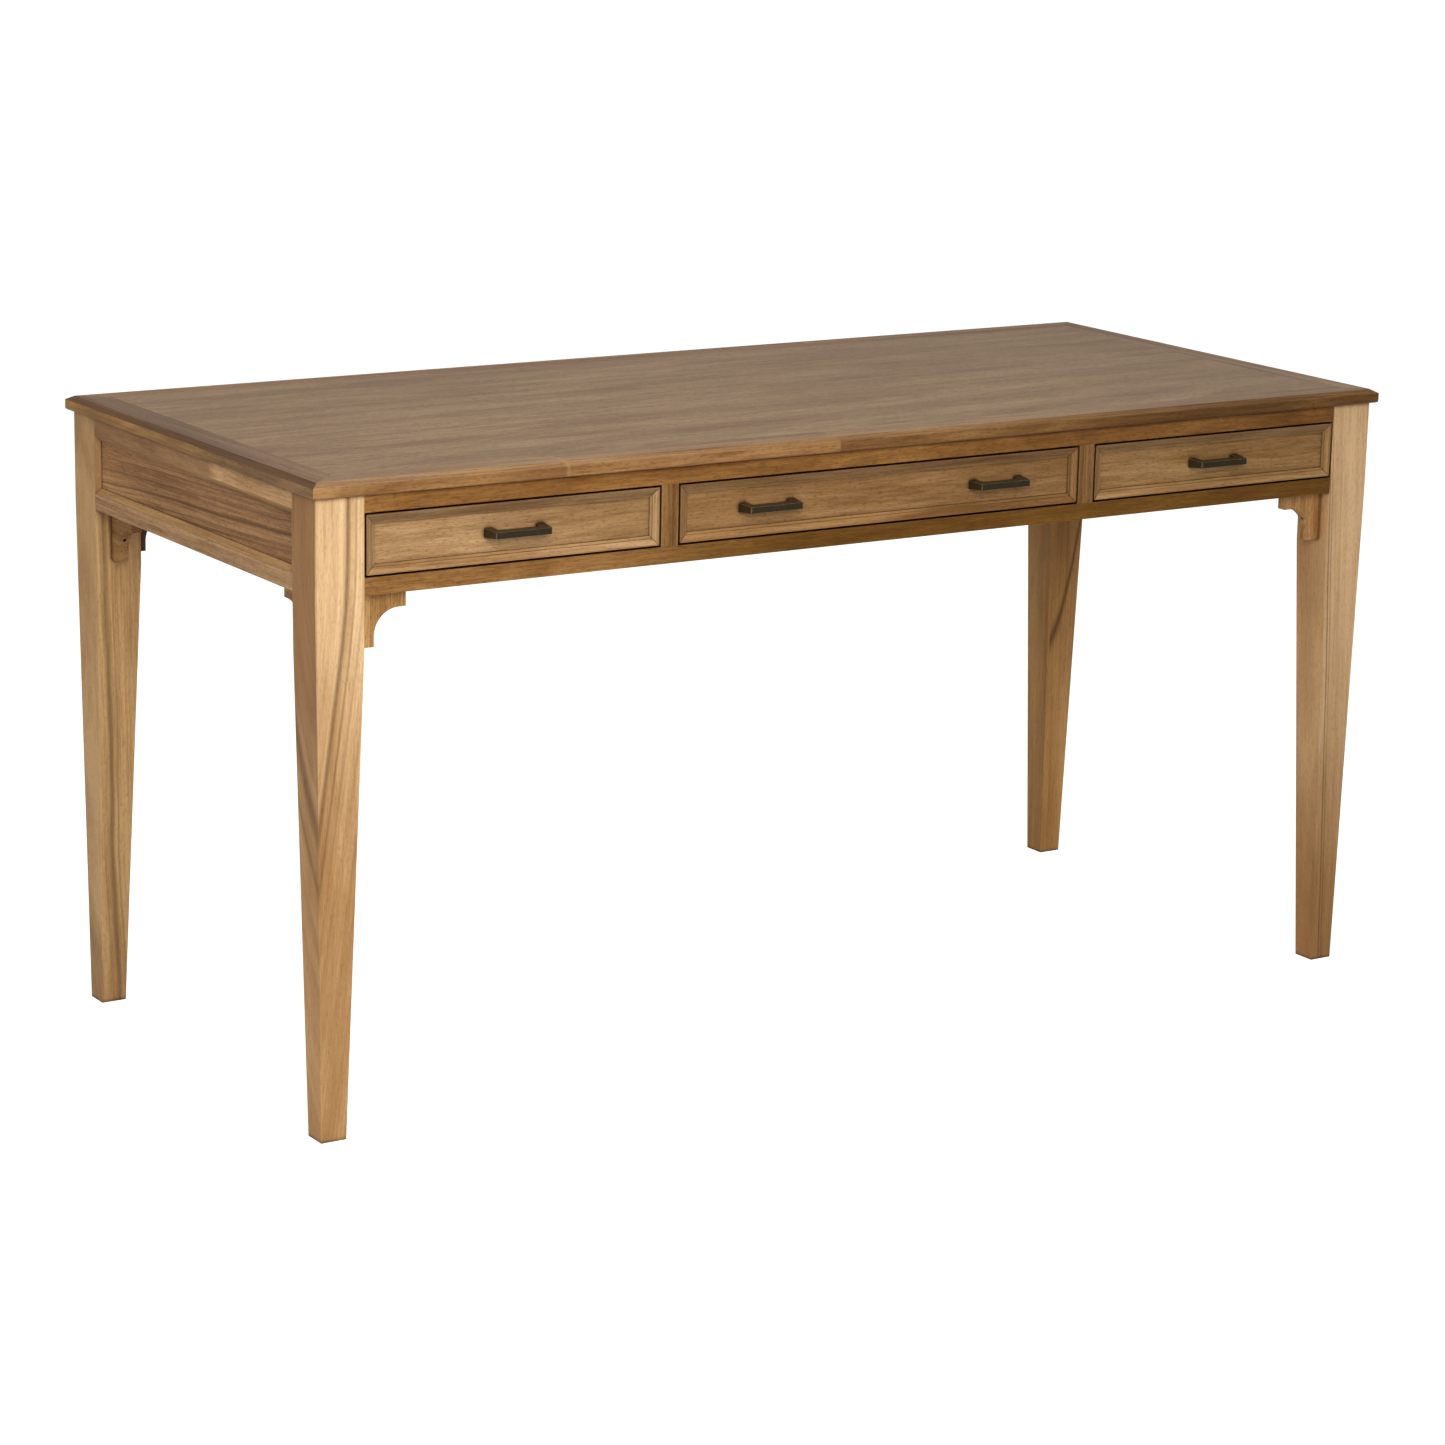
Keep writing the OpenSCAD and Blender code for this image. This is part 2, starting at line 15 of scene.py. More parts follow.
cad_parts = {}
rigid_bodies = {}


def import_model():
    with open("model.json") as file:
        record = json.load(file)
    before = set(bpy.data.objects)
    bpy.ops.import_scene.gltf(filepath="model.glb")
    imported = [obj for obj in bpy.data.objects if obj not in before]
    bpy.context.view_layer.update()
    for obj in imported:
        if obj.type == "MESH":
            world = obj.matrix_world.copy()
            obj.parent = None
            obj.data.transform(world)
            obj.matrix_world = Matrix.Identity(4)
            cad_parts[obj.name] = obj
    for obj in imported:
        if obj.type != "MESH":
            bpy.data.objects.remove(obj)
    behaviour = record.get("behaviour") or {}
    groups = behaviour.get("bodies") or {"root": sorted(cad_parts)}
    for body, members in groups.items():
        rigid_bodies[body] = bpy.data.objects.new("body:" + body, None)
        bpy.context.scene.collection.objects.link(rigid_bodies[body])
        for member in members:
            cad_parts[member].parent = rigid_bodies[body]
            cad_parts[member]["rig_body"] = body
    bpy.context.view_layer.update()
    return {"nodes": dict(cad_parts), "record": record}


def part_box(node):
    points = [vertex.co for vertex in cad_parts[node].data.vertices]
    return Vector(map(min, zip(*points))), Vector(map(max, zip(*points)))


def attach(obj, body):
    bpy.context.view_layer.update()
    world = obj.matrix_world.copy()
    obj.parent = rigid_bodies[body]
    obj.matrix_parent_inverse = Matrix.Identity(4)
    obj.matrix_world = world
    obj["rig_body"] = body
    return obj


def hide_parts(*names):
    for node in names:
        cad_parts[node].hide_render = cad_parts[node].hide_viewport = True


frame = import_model()
NODES = frame["nodes"]
MM = 0.001


# ------------------------------------------------------------------ camera

def add_camera():
    """The photograph's viewpoint: in front, to the left and above."""
    spot = Vector((-2.7637, -4.2752, 1.5903))
    yaw, pitch, roll = (math.radians(a) for a in (33.589, 13.866, 1.401))
    ahead = Vector((math.sin(yaw) * math.cos(pitch), math.cos(yaw) * math.cos(pitch),
                    -math.sin(pitch)))
    right = Vector((math.cos(yaw), -math.sin(yaw), 0))
    up = right.cross(ahead)
    tilted_right = math.cos(roll) * right + math.sin(roll) * up
    tilted_up = math.cos(roll) * up - math.sin(roll) * right
    data = bpy.data.cameras.new("camera")
    data.sensor_width = 36
    data.lens = 102.62
    data.shift_x = -0.0415
    data.shift_y = 0.0026
    data.clip_end = 60      # metres, past the floor's far side
    camera = bpy.data.objects.new("camera", data)
    turn = Matrix((tilted_right, tilted_up, -ahead)).transposed().to_4x4()
    camera.matrix_world = Matrix.Translation(spot) @ turn
    bpy.context.scene.collection.objects.link(camera)
    bpy.context.scene.camera = camera


add_camera()


# ------------------------------------------------------------------ node helpers

class Graph:
    """Short calls that add shader nodes and link them. Values may be numbers or sockets."""

    def __init__(self, tree):
        self.tree = tree

    def add(self, kind, **settings):
        node = self.tree.nodes.new(kind)
        for key, value in settings.items():
            setattr(node, key, value)
        return node

    def put(self, socket, value):
        if isinstance(value, bpy.types.NodeSocket):
            self.tree.links.new(value, socket)
        else:
            socket.default_value = value

    def math(self, operation, a, b=0.0, c=0.0, clamp=False):
        node = self.add("ShaderNodeMath", operation=operation, use_clamp=clamp)
        for socket, value in zip(node.inputs, (a, b, c)):
            self.put(socket, value)
        return node.outputs[0]

    def plus(self, a, b):
        return self.math("ADD", a, b)

    def times(self, a, b):
        return self.math("MULTIPLY", a, b)

    def vector(self, operation, a, b=(0, 0, 0)):
        node = self.add("ShaderNodeVectorMath", operation=operation)
        self.put(node.inputs[0], a)
        self.put(node.inputs[1], b)
        return node.outputs[0]

    def combine(self, x, y, z):
        node = self.add("ShaderNodeCombineXYZ")
        for socket, value in zip(node.inputs, (x, y, z)):
            self.put(socket, value)
        return node.outputs[0]

    def split(self, vector):
        node = self.add("ShaderNodeSeparateXYZ")
        self.put(node.inputs[0], vector)
        return node.outputs

    def noise(self, vector, detail=3.0, rough=0.55, scale=1.0, colour=False):
        node = self.add("ShaderNodeTexNoise", noise_dimensions="3D")
        self.put(node.inputs["Vector"], vector)
        node.inputs["Scale"].default_value = scale
        node.inputs["Detail"].default_value = detail
        node.inputs["Roughness"].default_value = rough
        return node.outputs["Color" if colour else "Fac"]

    def spread(self, value, low, high, to_low=0.0, to_high=1.0):
        """Value mapped from low..high to to_low..to_high, and held there."""
        node = self.add("ShaderNodeMapRange", clamp=True)
        for name, number in (("Value", value), ("From Min", low), ("From Max", high),
                             ("To Min", to_low), ("To Max", to_high)):
            self.put(node.inputs[name], number)
        return node.outputs[0]

    def ramp(self, value, stops):
        node = self.add("ShaderNodeValToRGB")
        self.put(node.inputs[0], value)
        elements = node.color_ramp.elements
        while len(elements) < len(stops):
            elements.new(0.5)
        for element, (place, colour) in zip(elements, stops):
            element.position = place
            element.color = (*colour, 1)
        return node.outputs[0]

    def mix(self, factor, a, b, blend="MIX"):
        node = self.add("ShaderNodeMix", data_type="RGBA", blend_type=blend)
        self.put(node.inputs["Factor"], factor)
        for socket, value in ((node.inputs[6], a), (node.inputs[7], b)):
            if isinstance(value, tuple):
                value = (*value, 1)
            self.put(socket, value)
        return node.outputs[2]


def new_material(name):
    material = bpy.data.materials.new(name)
    material.use_nodes = True
    tree = material.node_tree
    tree.nodes.clear()
    graph = Graph(tree)
    shader = graph.add("ShaderNodeBsdfPrincipled")
    output = graph.add("ShaderNodeOutputMaterial")
    tree.links.new(shader.outputs[0], output.inputs[0])
    return material, graph, shader


# ------------------------------------------------------------------ wood

X, Y, Z = 0, 1, 2

# Painted shade: the colours that gaps, corners and crevices darken to.
CREVICE_SHADE = (0.020, 0.0030, 0.0003)
RED_CREVICE_SHADE = (0.12, 0.032, 0.006)


def tones(red, green, blue, depth=1.0):
    """Dark, middle and light growth and the heartwood streak, from the middle colour."""
    middle_colour = (red, green, blue)
    scales = ((0.64, 0.57, 0.45), (1.0, 1.0, 1.0), (1.38, 1.50, 1.68), (0.24, 0.19, 0.13))
    return [tuple(c * s ** depth for c, s in zip(middle_colour, scale)) for scale in scales]


BEECH = tones(0.56, 0.39, 0.22, 0.8)

# Noise in cycles per metre, along the grain and across it.
WARP = (2.6, 9.0)
FIBRE = (24, 430)
BLOTCH = (3.2, 18)
PORES = (140, 620)
FIGURE_ALONG = 0.9
LINES_ALONG = 5
LINES_PER_RING = 5

JOINT_SHIFT = 7.31       # how far apart the figures of two glued boards are drawn
PLUG_WIDTH = 2.6 * MM
HOOK_BEND = 0.12         # length over which hooked rings start to lean
SKIN_WAVE = 4 * MM       # how far the border of a skin wanders
SKIN_REACH = 0.1         # half the length over which a skin fades in
CHEVRON_WAVE = 6 * MM
CHEVRON_CURVE = 22.0     # how fast a chevron's line steepens
CHEVRON_START = 0.35     # its steepness where it starts
CHEVRON_INSIDE = 9.0     # line widths over which the wood inside it darkens
CHEVRON_FADE = 30.0      # and by which it is plain again


def wood(name, kind, grain, centre, pith=(-0.30, 0.0), tilt=(0.0, 0.0), streaks=(), seed=0.0,
         rings=110.0, wander=0.006, gloss=0.50, shine=0.3, joints=(), plugs=(), patchy=1.0,
         contrast=1.0, fine=1.0, coarse=1.0, worn=0.35, turn=None, skin=None, hook=None,
         slope_shade=None, left=None, chevron=None, gather=6 * MM):
    """A board's own wood.

    grain    the axis the board runs along; centre is the board's middle
    pith     the growth centre's place across the board and through its thickness
    tilt     the pith's slope along the grain, across and through
    hook     (place, slope): below that place along the grain the rings lean
    streaks  (radius, width, strength) of dark heartwood lines
    rings    growth rings in a metre; wander is how far they wave
    joints   places along the grain where one board is glued to the next
    plugs    places of light strips
    turn     (place, length, kind): past that place the board takes the other kind's colours
    skin     (depth, kind, place): above that place the other kind lies behind that depth
    fine     strength of the fibres; coarse is their size
    rim      a painted shade for the sloping faces and one for the upright ones, and if need be
         the same pair for the far end, the place of the change and its length
    left     a painted shade for the face that looks to the left
    chevron  (place, side, slope, width) of a dark line that climbs across the front face
    gather   how far from a corner the painted shade shows
    """
    light, heart = kind[2:]
    material, g, shader = new_material(name)
    place = g.add("ShaderNodeTexCoord").outputs["Object"]
    place = g.vector("SUBTRACT", place, tuple(centre))
    axes = g.split(place)
    along, across, thick = (axes[(grain + i) % 3] for i in range(3))

    # Boards glued end to end differ in figure and tone.
    tone = 0.0
    step = None
    for joint in joints:
        beyond = g.math("GREATER_THAN", along, joint)
        step = beyond if step is None else g.plus(step, beyond)
    shift = seed
    if step is not None:
        shift = g.plus(g.times(step, JOINT_SHIFT), seed)
        white = g.add("ShaderNodeTexWhiteNoise", noise_dimensions="1D")
        g.put(white.inputs["W"], shift)
        tone = g.math("SUBTRACT", white.outputs["Value"], 0.5)

    def grain_noise(scales, size=1.0, **settings):
        """Noise drawn out along the grain."""
        long_scale, wide_scale = (scale / size for scale in scales)
        return g.noise(g.combine(g.plus(g.times(along, long_scale), shift),
                                 g.times(across, wide_scale), g.times(thick, wide_scale)),
                       **settings)

    warp = grain_noise(WARP, detail=3, colour=True)
    warp = g.split(g.vector("SUBTRACT", warp, (0.5, 0.5, 0.5)))

    def offset(value, which):
        """How far a place lies from the pith, across (0) or through (1) the board."""
        slope = g.times(along, tilt[which])
        value = g.plus(g.math("SUBTRACT", value, pith[which]), slope)
        if hook and which == 0:
            start, lean = hook
            below = g.math("SMOOTH_MAX", g.math("SUBTRACT", start, along), 0.0, HOOK_BEND)
            value = g.plus(value, g.times(below, lean))
        return g.plus(value, g.times(warp[which], wander * 2))

    flat = g.combine(offset(across, 0), offset(thick, 1), 0.0)
    length = g.add("ShaderNodeVectorMath", operation="LENGTH")
    g.put(length.inputs[0], flat)
    radius = length.outputs["Value"]

    def ring_noise(ring_scale, long_scale, layer, detail):
        """Noise that changes from ring to ring and slowly along the grain."""
        return g.noise(g.combine(g.times(radius, ring_scale),
                                 g.plus(g.times(along, long_scale), shift), layer),
                       detail=detail, rough=0.6)

    figure = ring_noise(rings, FIGURE_ALONG, 0.3, detail=5)
    lines = ring_noise(rings * LINES_PER_RING, LINES_ALONG, 0.7, detail=2)
    fibre = grain_noise(FIBRE, size=coarse, detail=4, rough=0.72)
    blotch = grain_noise(BLOTCH, detail=3)
    pores = g.spread(grain_noise(PORES, detail=2, rough=0.6), 0.53, 0.66)

    # The growth tone: 0.1 is dark, 0.5 the middle and 0.9 light.
    value = 0.5
    for noise, low, high, swing in ((figure, 0.33, 0.67, 0.30 * contrast),
                                    (lines, 0.32, 0.68, 0.20 * contrast),
                                    (fibre, 0.32, 0.68, 0.26 * fine),
                                    (blotch, 0.30, 0.70, 0.20 * patchy)):
        value = g.plus(g.spread(noise, low, high, -swing, swing), value)
    if step is not None:
        value = g.plus(value, g.times(tone, 0.18))

    def growth(colours):
        return g.ramp(value, list(zip((0.1, 0.5, 0.9), colours[:3])))

    def ridge(away):
        """1 on a line and fading softly on both sides, from the distance in line widths."""
        return g.math("EXPONENT", g.times(g.times(away, away), -1.0))

    def looks(axis):
        """How far the surface looks along an axis."""
        return g.split(g.add("ShaderNodeNewGeometry").outputs["True Normal"])[axis]

    colour = growth(kind)
    if turn:
        spot, reach, other = turn
        edge = g.plus(along, g.times(g.math("SUBTRACT", blotch, 0.5), reach))
        share = g.spread(edge, spot - reach / 2, spot + reach / 2)
        colour = g.mix(share, colour, growth(other))
    if skin:
        depth, other, spot = skin
        edge = g.plus(thick, g.times(warp[2], SKIN_WAVE))
        share = g.times(g.spread(edge, depth - MM, depth + MM),
                        g.spread(along, spot - SKIN_REACH, spot + SKIN_REACH))
        colour = g.mix(share, colour, growth(other))

    for ring, width, strength in streaks:
        line = ridge(g.math("DIVIDE", g.math("SUBTRACT", radius, ring), width))
        line = g.times(line, g.spread(fibre, 0.3, 0.6, 0.6 * strength, strength))
        colour = g.mix(line, colour, heart)
    if chevron:
        spot, side, slope, width = chevron
        arm = g.plus(g.math("SUBTRACT", across, side), g.times(warp[1], CHEVRON_WAVE))
        climb = g.times(arm, g.plus(g.times(arm, CHEVRON_CURVE), CHEVRON_START))
        away = g.math("SUBTRACT", g.math("SUBTRACT", along, spot), g.times(climb, slope))
        away = g.math("DIVIDE", away, width * slope)
        inside = g.times(g.spread(away, 0.0, CHEVRON_INSIDE),
                         g.spread(away, CHEVRON_INSIDE, CHEVRON_FADE, 0.35, 0.0))
        line = g.math("MAXIMUM", ridge(away), inside)
        line = g.times(line, g.spread(fibre, 0.3, 0.6, 0.60, 0.95))
        line = g.times(line, g.spread(arm, 0.0, 2 * MM))
        line = g.times(line, g.spread(looks(Y), -0.9, -0.5, 1.0, 0.0))
        colour = g.mix(line, colour, heart)
    colour = g.mix(g.times(pores, 0.40 * fine), colour, heart)
    for plug in plugs:
        line = ridge(g.math("DIVIDE", g.math("SUBTRACT", along, plug), PLUG_WIDTH))
        colour = g.mix(g.times(line, 0.55), colour, light)
    rubbed = g.add("ShaderNodeAttribute", attribute_name="worn").outputs["Fac"]
    colour = g.mix(g.times(rubbed, worn), colour, light)

    # Painted light and shade: sloping and upright faces, told apart by their normals, are
    # multiplied by their own tints, which change towards the far end.
    if slope_shade:
        up = looks(Z)
        sloping = g.times(g.spread(up, 0.45, 0.60), g.spread(up, 0.93, 0.985, 1.0, 0.0))
        upright = g.spread(up, 0.45, 0.60, 1.0, 0.0)
        tints = slope_shade[:2]
        if len(slope_shade) > 2:
            far, spot, reach = slope_shade[2:]
            share = g.spread(along, spot - reach / 2, spot + reach / 2)
            tints = [g.mix(share, near_tint, far_tint) for near_tint, far_tint in zip(slope_shade, far)]
        colour = g.mix(sloping, colour, tints[0], blend="MULTIPLY")
        colour = g.mix(upright, colour, tints[1], blend="MULTIPLY")
    # Painted shade on the faces that look to the left.
    if left:
        colour = g.mix(g.spread(looks(X), -0.9, -0.5, 1.0, 0.0), colour, left,
                       blend="MULTIPLY")

    # Painted shade: in gaps and corners, read from ambient occlusion, the colour darkens to
    # red-brown and then near black, and the sheen fades.
    hollow = g.add("ShaderNodeAmbientOcclusion", samples=6)
    hollow.inputs["Distance"].default_value = gather
    near = hollow.outputs["AO"]
    colour = g.mix(g.spread(near, 0.45, 0.92, 0.75, 0.0), colour, RED_CREVICE_SHADE, blend="MULTIPLY")
    colour = g.mix(g.spread(near, 0.12, 0.62, 0.95, 0.0), colour, CREVICE_SHADE)
    g.put(shader.inputs["Specular IOR Level"], g.spread(near, 0.30, 0.90, 0.0, shine))
    g.put(shader.inputs["Base Color"], colour)
    g.put(shader.inputs["Roughness"], g.spread(fibre, 0.25, 0.75, gloss - 0.05, gloss + 0.09))

    bump = g.add("ShaderNodeBump")
    bump.inputs["Strength"].default_value = 0.45
    bump.inputs["Distance"].default_value = 0.2 * MM
    height = g.math("SUBTRACT", g.plus(g.times(fibre, 0.8), g.times(figure, 0.5)), pores)
    g.put(bump.inputs["Height"], height)
    g.put(shader.inputs["Normal"], bump.outputs[0])
    return material


# ------------------------------------------------------------------ pieces

def islands(bm):
    """The faces of each separate body in the mesh."""
    seen = set()
    for first in bm.faces:
        if first in seen:
            continue
        group, queue = [], [first]
        seen.add(first)
        while queue:
            face = queue.pop()
            group.append(face)
            for edge in face.edges:
                for other in edge.link_faces:
                    if other not in seen:
                        seen.add(other)
                        queue.append(other)
        yield group


def softened(node, radius, materials, segments=2, pick=None):
    """A copy of a CAD solid with its arrises rounded, in place of the CAD node.

    The rounded strips carry the "worn" attribute, where the finish is rubbed lighter.
    pick gives the number of the material for a separate body, from its size and middle.
    """
    bm = bmesh.new()
    bm.from_mesh(NODES[node].data)
    layer = bm.faces.layers.float.new("worn")
    bmesh.ops.remove_doubles(bm, verts=bm.verts, dist=1e-5)
    bmesh.ops.dissolve_limit(bm, angle_limit=math.radians(0.5), verts=bm.verts, edges=bm.edges)
    bmesh.ops.recalc_face_normals(bm, faces=bm.faces)
    if pick:
        for group in islands(bm):
            spots = [v.co for face in group for v in face.verts]
            low = Vector(min(spot[i] for spot in spots) for i in range(3))
            high = Vector(max(spot[i] for spot in spots) for i in range(3))
            for face in group:
                face.material_index = pick(high - low, (low + high) / 2)
    sharp = [e for e in bm.edges if len(e.link_faces) == 2
             and e.calc_face_angle(0) > math.radians(24)]
    result = bmesh.ops.bevel(bm, geom=sharp, offset=radius, offset_type="OFFSET",
                             segments=segments, profile=0.5, affect="EDGES",
                             clamp_overlap=True)
    for face in result["faces"]:
        face[layer] = 1.0
    mesh = bpy.data.meshes.new(f"soft_{node}")
    bm.to_mesh(mesh)
    bm.free()
    piece = bpy.data.objects.new(f"soft_{node}", mesh)
    bpy.context.scene.collection.objects.link(piece)
    for material in materials:
        mesh.materials.append(material)
    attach(piece, NODES[node]["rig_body"])
    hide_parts(node)
    return piece


def middle(node):
    low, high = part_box(node)
    return (low + high) / 2


def record_slot(node):
    for part in frame["record"]["subparts"]:
        if part["node"] == node:
            return part["material_slot"]


def board(node, kind, grain, radius=0.7, **looks):
    """Rounds a CAD node's edges and gives it its own wood."""
    material = wood(f"wood_{node}", kind, grain, middle(node), **looks)
    piece = softened(node, radius * MM, [material])
    record_slot(node)
    return piece


def mouldings(node, long_axis, colour, seed, painted_shades=(1.0, 1.0, 1.0, 1.0)):
    """Strips round a panel, with wood along each and a painted shade for each, by how the light
    falls on it.

    Their order is upper, lower, left (at the sides front) and right (at the sides back).
    """
    centre = middle(node)
    grains = (long_axis, long_axis, Z, Z)
    # The strips' painted shade reaches 8 mm from their corners.
    materials = [wood(f"wood_{node}_{i}", tones(*(c * shade for c in colour)), grain, centre,
                      seed=seed + 0.37 * i, fine=0.7, worn=0.2, gather=8 * MM)
                 for i, (shade, grain) in enumerate(zip(painted_shades, grains))]

    def which(size, spot):
        if size[long_axis] > size[Z]:
            return 0 if spot[Z] > centre[Z] else 1
        return 2 if spot[long_axis] < centre[long_axis] else 3

    piece = softened(node, 0.3 * MM, materials, pick=which)


def brackets(node, kinds, seed):
    """Two brackets on a leg: the first kind faces the front, the second the side."""
    materials = [wood(f"wood_{node}_{name}", kind, grain, middle(node), seed=seed + i)
                 for i, (name, kind, grain) in enumerate((("rail", kinds[0], Z),
                                                          ("side", kinds[1], Y)))]
    piece = softened(node, 0.6 * MM, materials,
                     pick=lambda size, spot: 0 if size[X] > size[Y] else 1)


# The top.
TOP = {"gloss": 0.40, "shine": 0.5}
# Painted light and shade on the top's edges: their sloping and upright faces are tinted apart.
EDGE = {"slope_shade": ((1.0, 0.97, 0.85), (1.06, 0.96, 0.70)), **TOP}
board("top_field", tones(0.315, 0.186, 0.084, 0.9), X, 0.15, pith=(-0.5, 0.9),
      tilt=(0.01, 0.05), seed=1.7, rings=90, wander=0.012, contrast=0.5, patchy=0.9,
      fine=1.3, coarse=2.2, **TOP)
# The front edge's painted shade deepens towards the right end, most on the upright face.
FRONT_EDGE = {"slope_shade": ((0.95, 0.85, 0.64), (0.99, 0.84, 0.62),
                      ((0.70, 0.60, 0.38), (0.61, 0.48, 0.19)), 0.20, 0.6), **TOP}
board("top_border_front", tones(0.32, 0.180, 0.076), X, 0.8, pith=(-0.30, 0.02),
      tilt=(0.01, 0.0), seed=3.1, joints=(-0.441, -0.071), plugs=(-0.441,),
      turn=(0.20, 0.5, tones(0.285, 0.160, 0.068)), worn=0.4, coarse=1.5, **FRONT_EDGE)
board("top_border_back", tones(0.30, 0.152, 0.056), X, 0.8, pith=(0.30, 0.02),
      tilt=(0.01, -0.02), seed=5.2, joints=(0.30,), coarse=1.5, **EDGE)
# The side edges' painted shade: slopes darker, and upright faces much lighter towards the back.
SIDE_EDGE = {"slope_shade": ((0.49, 0.41, 0.235), (0.82, 0.74, 0.56),
                     ((0.83, 0.73, 0.40), (2.15, 2.2, 1.56)), -0.06, 0.2), "coarse": 1.5,
             **TOP}
board("top_border_left", tones(0.285, 0.155, 0.064), Y, 0.8, pith=(0.02, 0.30),
      tilt=(0.0, 0.02), seed=7.7, worn=0.2, turn=(-0.14, 0.35, tones(0.185, 0.092, 0.032)),
      **SIDE_EDGE)
board("top_border_right", tones(0.29, 0.165, 0.072), Y, 0.8, pith=(0.02, -0.30),
      tilt=(0.0, 0.02), seed=9.4, worn=0.2, **SIDE_EDGE)

# The legs.
LEG = {"rings": 60, "wander": 0.003, "fine": 0.5, "contrast": 0.7}
board("leg_front_left", tones(0.475, 0.252, 0.094, 0.85), Z, 1.2, pith=(-0.285, -0.094),
      hook=(0.250, 0.135), seed=2.2, skin=(-26 * MM, tones(0.33, 0.162, 0.058, 0.8), 0.03),
      streaks=((0.3010, 0.0030, 0.80), (0.3110, 0.0014, 0.40), (0.3210, 0.0016, 0.30)),
      turn=(0.06, 0.30, tones(0.76, 0.49, 0.248, 0.75)), **LEG)
# This leg's left face gets painted shade.
board("leg_front_right", tones(0.41, 0.205, 0.07, 0.8), Z, 1.2, pith=(-0.30, 0.0),
      tilt=(0.048, 0.0), seed=4.5, left=(0.84, 0.80, 0.74),
      streaks=((0.2862, 0.0009, 0.8), (0.2905, 0.0008, 0.5)),
      turn=(-0.17, 0.20, tones(0.67, 0.41, 0.200, 0.75)), **LEG)
board("leg_back_left", tones(0.46, 0.26, 0.103, 0.9), Z, 1.2, pith=(-0.30, 0.0), seed=6.1,
      tilt=(0.035, 0.0), streaks=((0.2890, 0.0038, 0.72), (0.2975, 0.0012, 0.35)), rings=60,
      wander=0.010, fine=0.6)
# Painted shadow of the apron on this leg: the part above the turn is darker. Its left face gets
# painted shade too.
board("leg_back_right", tones(0.58, 0.294, 0.097, 0.9), Z, 1.2, pith=(-0.25, 0.1),
      tilt=(0.015, 0.0), seed=8.8, chevron=(-0.057, -0.018, 3.2, 5.0 * MM),
      left=(0.66, 0.66, 0.62),
      turn=(0.12, 0.16, tones(0.435, 0.208, 0.046, 0.9)), **LEG)

# The apron.
board("front_upper_rail", tones(0.27, 0.116, 0.026), X, 0.5, seed=11.0)
board("front_lower_rail", tones(0.345, 0.167, 0.048), X, 0.6, seed=12.0,
      contrast=0.7, turn=(-0.28, 0.25, tones(0.186, 0.080, 0.0083)))
for i, node in enumerate(("divider_left", "divider_right")):
    board(node, tones(0.245, 0.118, 0.036), Z, 0.5, seed=13.0 + i)
for i, side in enumerate(("left", "right")):
    board(f"{side}_upper_rail", tones(0.56, 0.315, 0.135), Y, 0.5, pith=(0.0, -0.3),
          seed=15.0 + i, joints=(-0.10,), fine=0.8, contrast=0.8,
          turn=(-0.06, 0.02, tones(0.35, 0.178, 0.070)))
    board(f"{side}_lower_rail", tones(0.39, 0.212, 0.092), Y, 0.6, pith=(-0.3, 0.0),
          seed=17.0 + i)
    # The panels' painted shade reaches further from their corners.
    board(f"{side}_panel", tones(0.315, 0.152, 0.055), Y, 0.2, pith=(-0.3, 0.0),
          seed=19.0 + i, tilt=(0.05, 0.0), rings=120, contrast=1.2, gather=11 * MM,
          turn=(0.13, 0.16, tones(0.39, 0.195, 0.070)),
          streaks=((0.278, 0.0012, 0.6), (0.292, 0.0014, 0.7), (0.308, 0.0012, 0.6),
                   (0.322, 0.0012, 0.5)))
    mouldings(f"{side}_moulding", Y, (0.35, 0.18, 0.062), 21.0 + i)
board("back_upper_rail", tones(0.30, 0.152, 0.056), X, 0.5, seed=23.0)
board("back_lower_rail", tones(0.30, 0.152, 0.056), X, 0.6, seed=24.0)
board("back_panel", tones(0.275, 0.145, 0.067), X, 0.2, pith=(0.02, -0.3), seed=25.0,
      contrast=1.2)
BRACKET_TONES_AND_SHADE = {"front_left": ((0.45, 0.240, 0.080), (0.36, 0.185, 0.07)),
                 "front_right": ((0.43, 0.213, 0.072), (0.36, 0.185, 0.07)),
                 # Painted shade: the back left bracket under the back rail is near black, as the
                 # underside lies in shade.
                 "back_left": ((0.10, 0.045, 0.014), (0.29, 0.145, 0.05)),
                 "back_right": ((0.34, 0.19, 0.08), (0.36, 0.185, 0.07))}
for i, (corner, pair) in enumerate(BRACKET_TONES_AND_SHADE.items()):
    brackets(f"brackets_{corner}", [tones(*colour) for colour in pair], 27.0 + 2 * i)

# The drawers.
DRAWER_TONES = {"left": (0.40, 0.225, 0.095), "centre": (0.290, 0.146, 0.050),
                "right": (0.345, 0.185, 0.066)}
for i, (drawer, colour) in enumerate(DRAWER_TONES.items()):
    far_end = (0.05, 0.2, tones(0.295, 0.155, 0.056)) if drawer == "left" else None
    board(f"{drawer}_drawer_front", tones(*colour), X, 0.5, pith=(-0.06, 0.02),
          tilt=(0.0, 0.03), seed=31.0 + i, contrast=0.6, turn=far_end)
    # Painted shade on the drawer mouldings: the upper and left strips darker, the lower one
    # lighter.
    mouldings(f"{drawer}_drawer_moulding", X, colour, 81.0 + 2 * i, (0.66, 1.15, 0.85, 0.9))
    sides = ("side_left", "side_right") if drawer == "centre" else ("side_outer", "side_inner")
    for j, side in enumerate(sides):
        board(f"{drawer}_drawer_{side}", BEECH, Y, 0.5, seed=37.0 + 2 * i + j)
    board(f"{drawer}_drawer_back", BEECH, X, 0.5, seed=44.0 + i)
    board(f"{drawer}_drawer_bottom", BEECH, X, 0.2, seed=47.0 + i)

# Hidden wooden pieces keep their CAD solids.
for i, node in enumerate(("bearers", "end_runners", "drawer_guides", "kickers", "drawer_stops")):
    NODES[node].data.materials.clear()
    NODES[node].data.materials.append(
        wood(f"wood_{node}", BEECH, Y, middle(node), seed=51.0 + i))


# ------------------------------------------------------------------ metal

